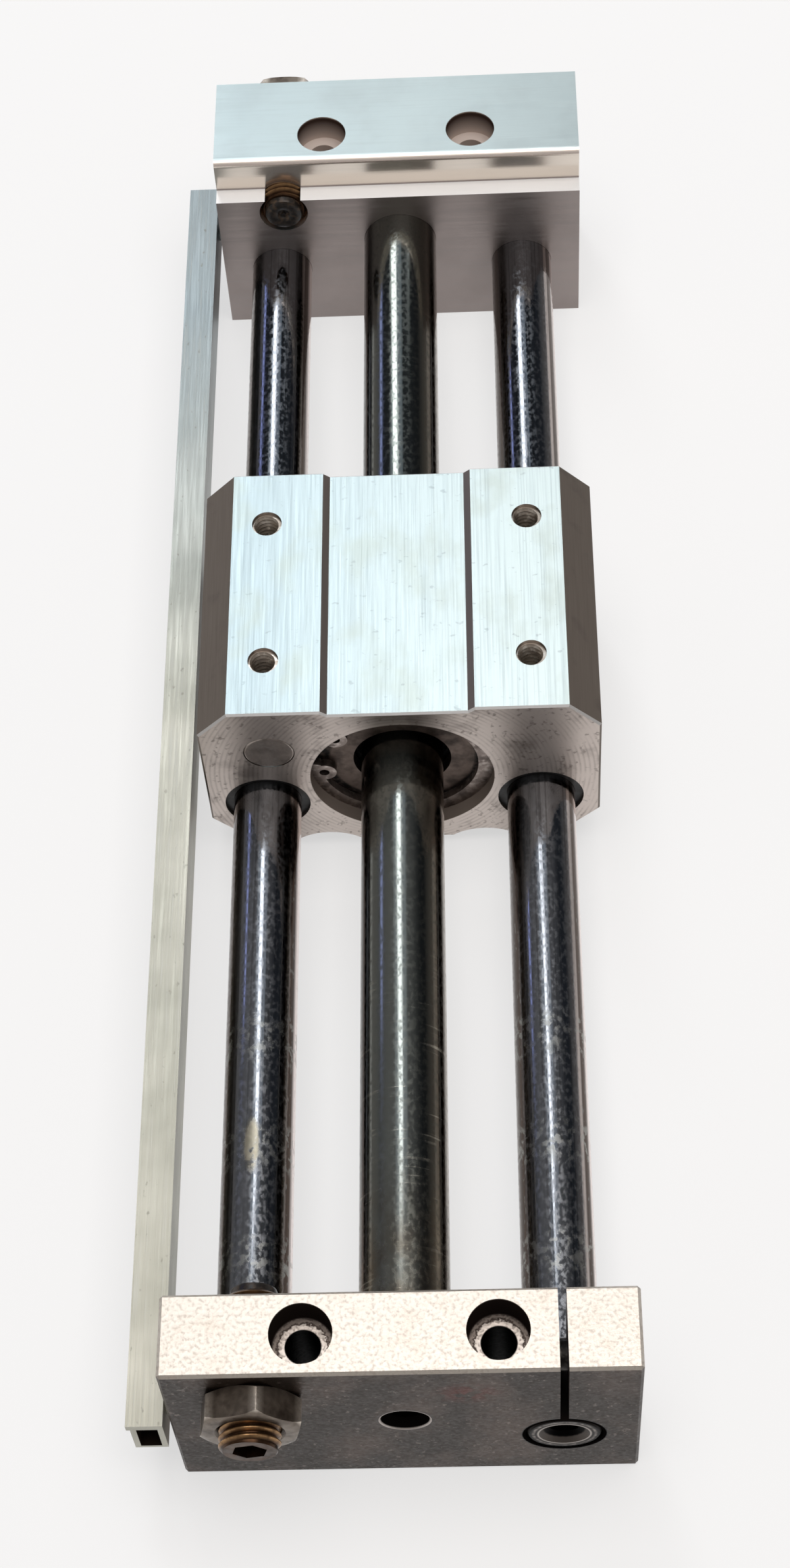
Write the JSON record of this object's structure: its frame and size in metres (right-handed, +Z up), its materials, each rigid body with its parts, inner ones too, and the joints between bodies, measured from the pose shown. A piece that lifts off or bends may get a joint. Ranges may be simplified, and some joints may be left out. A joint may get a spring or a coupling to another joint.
{
  "type": "rodless pneumatic cylinder",
  "caption": "Magnetically coupled rodless air cylinder: a guided slide block runs on shafts beside its tube between end plates, with adjustable stops and a switch rail.",
  "frame": {"origin": "centre of the four mounting screws, on the mounting face of the end plates", "axes": "+X across the plates towards the hollow guide shaft, +Y along the stroke from the plate with the air ports to the far plate, +Z up from the mounting face"},
  "size_m": [0.0659, 0.2397, 0.035],
  "materials": {
    "plate": "satin anodised aluminium plate",
    "block": "brushed anodised aluminium",
    "rail": "pale anodised aluminium extrusion",
    "shaft": "hard chrome plated steel shaft",
    "tube": "polished stainless steel tube",
    "screw": "steel screw, dark",
    "stop_bolt": "bronze-brown passivated steel thread",
    "lock_nut": "dark brown steel nut",
    "stop_pad": "hardened steel pad",
    "ring": "spring steel ring",
    "washer": "zinc plated steel washer",
    "insert": "stainless steel thread insert",
    "bush": "oil-impregnated bronze",
    "rubber": "black nitrile rubber",
    "bumper": "black urethane bumper",
    "wear_ring": "natural resin wear ring",
    "magnet": "nickel plated magnet",
    "yoke": "rolled steel yoke",
    "piston": "turned aluminium alloy"
  },
  "bodies": {
    "base": {"near_plate": "plate", "far_plate": "plate", "cylinder_tube": "tube", "guide_shaft_left": "shaft", "guide_shaft_right": "shaft", "tube_gaskets": "rubber", "shaft_gasket": "rubber", "clamp_screw": "screw", "shaft_set_screws": "screw", "passage_plug": "screw", "switch_rail": "rail", "rail_spacers": "rail", "rail_screws": "screw", "near_lock_nut": "lock_nut", "far_lock_nut": "lock_nut"},
    "near_stop": {"near_stop_bolt": "stop_bolt", "near_stop_bumper": "bumper"},
    "far_stop": {"far_stop_bolt": "stop_bolt", "far_stop_bumper": "bumper"},
    "carriage": {"slide_block": "block", "thread_inserts": "insert", "near_stop_pad": "stop_pad", "far_stop_pad": "stop_pad", "guide_bushes": "bush", "shaft_scrapers": "rubber", "near_retaining_ring": "ring", "far_retaining_ring": "ring", "near_washer": "washer", "far_washer": "washer", "near_tube_scraper": "rubber", "far_tube_scraper": "rubber", "near_wear_ring_holder": "piston", "far_wear_ring_holder": "piston", "near_tube_wear_ring": "wear_ring", "far_tube_wear_ring": "wear_ring", "outer_magnets": "magnet", "outer_yokes": "yoke", "switch_magnet": "magnet"},
    "piston": {"piston_shaft": "screw", "inner_magnets": "magnet", "inner_yokes": "yoke", "near_piston": "piston", "far_piston": "piston", "near_piston_seal": "rubber", "far_piston_seal": "rubber", "near_piston_wear_ring": "wear_ring", "far_piston_wear_ring": "wear_ring", "near_piston_nut": "screw", "far_piston_nut": "screw", "near_piston_bumper": "bumper", "far_piston_bumper": "bumper"}
  },
  "joints": [
    {"name": "carriage_slide", "type": "slide", "parent": "base", "child": "carriage", "axis": [0, 1, 0], "range_m": [-0.0829, 0.0634]},
    {"name": "piston_slide", "type": "slide", "parent": "base", "child": "piston", "axis": [0, 1, 0], "range_m": [-0.0829, 0.0634]},
    {"name": "near_stop_screw", "type": "slide", "parent": "base", "child": "near_stop", "axis": [0, 1, 0], "range_m": [-0.005, 0]},
    {"name": "far_stop_screw", "type": "slide", "parent": "base", "child": "far_stop", "axis": [0, 1, 0], "range_m": [0, 0.005]}
  ],
  "couplings": [
    {"joint": "piston_slide", "follows": "carriage_slide", "ratio": 1}
  ]
}
